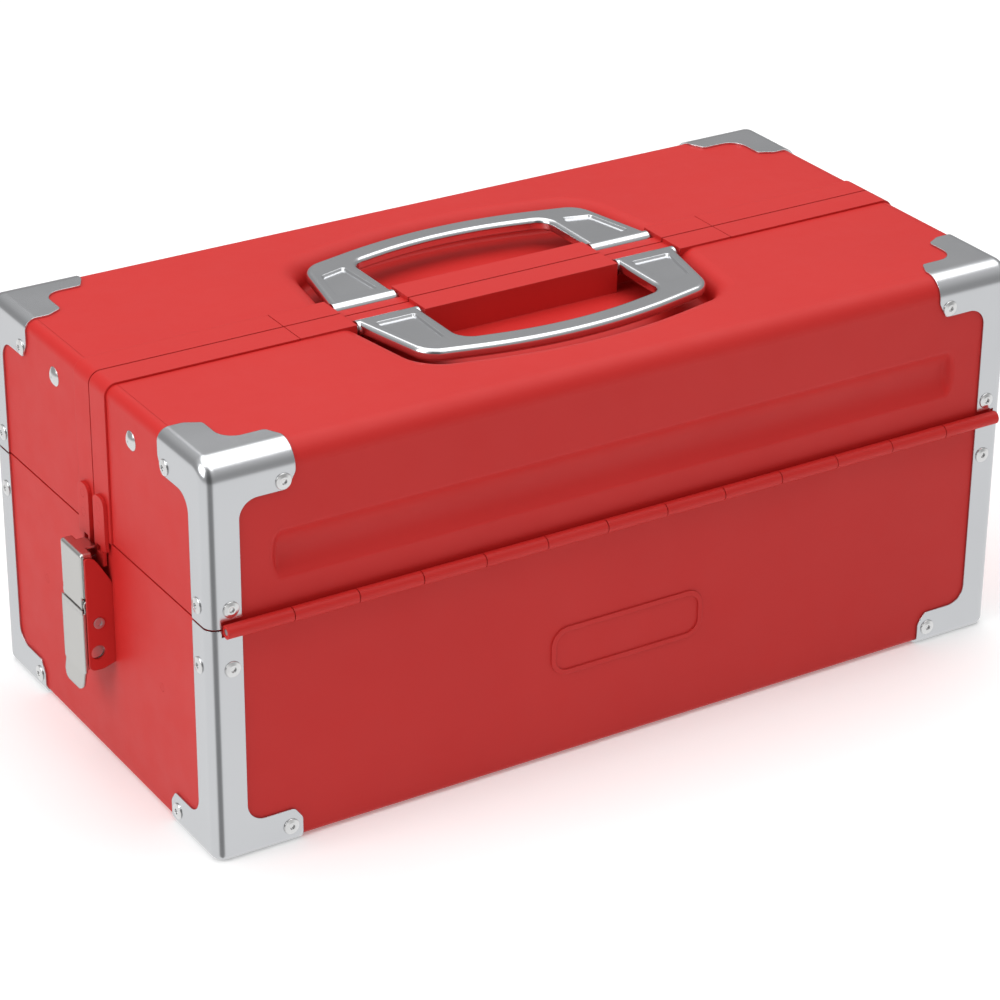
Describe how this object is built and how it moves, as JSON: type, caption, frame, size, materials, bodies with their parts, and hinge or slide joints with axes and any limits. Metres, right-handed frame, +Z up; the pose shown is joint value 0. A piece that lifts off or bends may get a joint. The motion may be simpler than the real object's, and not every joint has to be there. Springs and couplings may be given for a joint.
{
  "type": "toolbox with tray",
  "caption": "Red sheet-steel toolbox whose top opens as two side-hinged wings, with bright corner brackets, folding half handles, end latches and a lift-out tray inside.",
  "frame": {"origin": "centre of the base at floor level", "axes": "+X along the box, -Y is the front, +Z is up"},
  "size_m": [0.4628, 0.2326, 0.196],
  "materials": {
    "red_paint": "satin red enamel on sheet steel",
    "bracket_steel": "satin bright plating",
    "handle_chrome": "satin chrome on a zinc casting",
    "latch_nickel": "nickel plated pressed steel",
    "rivet_steel": "bright rivet heads",
    "rivet_red": "rivets painted over in red",
    "zinc_steel": "zinc plated steel"
  },
  "bodies": {
    "base": {"base_bracket_back_left": "bracket_steel", "base_bracket_back_right": "bracket_steel", "base_bracket_front_left": "bracket_steel", "base_bracket_front_right": "bracket_steel", "base_bracket_rivets": "rivet_steel", "base_end_left": "red_paint", "base_end_right": "red_paint", "base_wrap": "red_paint", "hinge_back_base_leaf": "red_paint", "hinge_back_pin": "zinc_steel", "hinge_front_base_leaf": "red_paint", "hinge_front_pin": "zinc_steel", "latch_housing_left": "red_paint", "latch_housing_right": "red_paint", "latch_pivot_pins": "zinc_steel", "latch_rivets": "rivet_red", "tray_ledge_rivets": "rivet_red", "tray_ledges": "red_paint"},
    "back_handle": {"handle_back": "handle_chrome"},
    "front_handle": {"handle_front": "handle_chrome"},
    "latch_claw_left": {"latch_claw_left": "latch_nickel"},
    "latch_claw_right": {"latch_claw_right": "latch_nickel"},
    "latch_lever_left": {"latch_lever_left": "latch_nickel", "latch_link_pin_left": "zinc_steel"},
    "latch_lever_right": {"latch_lever_right": "latch_nickel", "latch_link_pin_right": "zinc_steel"},
    "tray": {"tray_cross_walls": "red_paint", "tray_divider": "red_paint", "tray_handle_pins": "zinc_steel", "tray_pan": "red_paint"},
    "tray_handle": {"tray_handle": "zinc_steel"},
    "back_wing": {"wing_back_bracket_left": "bracket_steel", "wing_back_bracket_right": "bracket_steel", "wing_back_bracket_rivets": "rivet_steel", "wing_back_cover": "red_paint", "wing_back_dome_rivets": "rivet_steel", "wing_back_end_left": "red_paint", "wing_back_end_right": "red_paint", "wing_back_handle_pins": "zinc_steel", "wing_back_hinge_leaf": "red_paint", "wing_back_rail": "red_paint", "wing_back_straps": "red_paint", "wing_back_tongue_rivets": "rivet_red", "wing_back_tongues": "red_paint"},
    "front_wing": {"wing_front_bracket_left": "bracket_steel", "wing_front_bracket_right": "bracket_steel", "wing_front_bracket_rivets": "rivet_steel", "wing_front_cover": "red_paint", "wing_front_dome_rivets": "rivet_steel", "wing_front_end_left": "red_paint", "wing_front_end_right": "red_paint", "wing_front_handle_pins": "zinc_steel", "wing_front_hinge_leaf": "red_paint", "wing_front_rail": "red_paint", "wing_front_straps": "red_paint", "wing_front_tongue_rivets": "rivet_red", "wing_front_tongues": "red_paint"}
  },
  "joints": [
    {"name": "front_wing_hinge", "type": "hinge", "parent": "base", "child": "front_wing", "pos_m": [0, -0.1131, 0.117], "axis": [1, 0, 0], "range_deg": [0, 176]},
    {"name": "back_wing_hinge", "type": "hinge", "parent": "base", "child": "back_wing", "pos_m": [0, 0.1131, 0.117], "axis": [-1, 0, 0], "range_deg": [0, 176]},
    {"name": "front_handle_fold", "type": "hinge", "parent": "front_wing", "child": "front_handle", "pos_m": [0, -0.0114, 0.192], "axis": [-1, 0, 0], "range_deg": [0, 96]},
    {"name": "back_handle_fold", "type": "hinge", "parent": "back_wing", "child": "back_handle", "pos_m": [0, 0.0114, 0.192], "axis": [1, 0, 0], "range_deg": [0, 96]},
    {"name": "tray_lift", "type": "slide", "parent": "base", "child": "tray", "axis": [0, 0, 1], "range_m": [0, 0.028]},
    {"name": "tray_handle_fold", "type": "hinge", "parent": "tray", "child": "tray_handle", "pos_m": [0, 0, 0.114], "axis": [-1, 0, 0], "range_deg": [0, 90]},
    {"name": "latch_lever_pull_left", "type": "hinge", "parent": "base", "child": "latch_lever_left", "pos_m": [-0.223, 0, 0.078], "axis": [0, 1, 0], "range_deg": [0, 38]},
    {"name": "latch_claw_tilt_left", "type": "hinge", "parent": "latch_lever_left", "child": "latch_claw_left", "pos_m": [-0.227, 0, 0.087], "axis": [0, -1, 0], "range_deg": [0, 65]},
    {"name": "latch_lever_pull_right", "type": "hinge", "parent": "base", "child": "latch_lever_right", "pos_m": [0.223, 0, 0.078], "axis": [0, -1, 0], "range_deg": [0, 38]},
    {"name": "latch_claw_tilt_right", "type": "hinge", "parent": "latch_lever_right", "child": "latch_claw_right", "pos_m": [0.227, 0, 0.087], "axis": [0, 1, 0], "range_deg": [0, 65]}
  ],
  "couplings": [
    {"joint": "latch_claw_tilt_left", "follows": "latch_lever_pull_left", "ratio": 1.7},
    {"joint": "latch_claw_tilt_right", "follows": "latch_lever_pull_right", "ratio": 1.7}
  ]
}
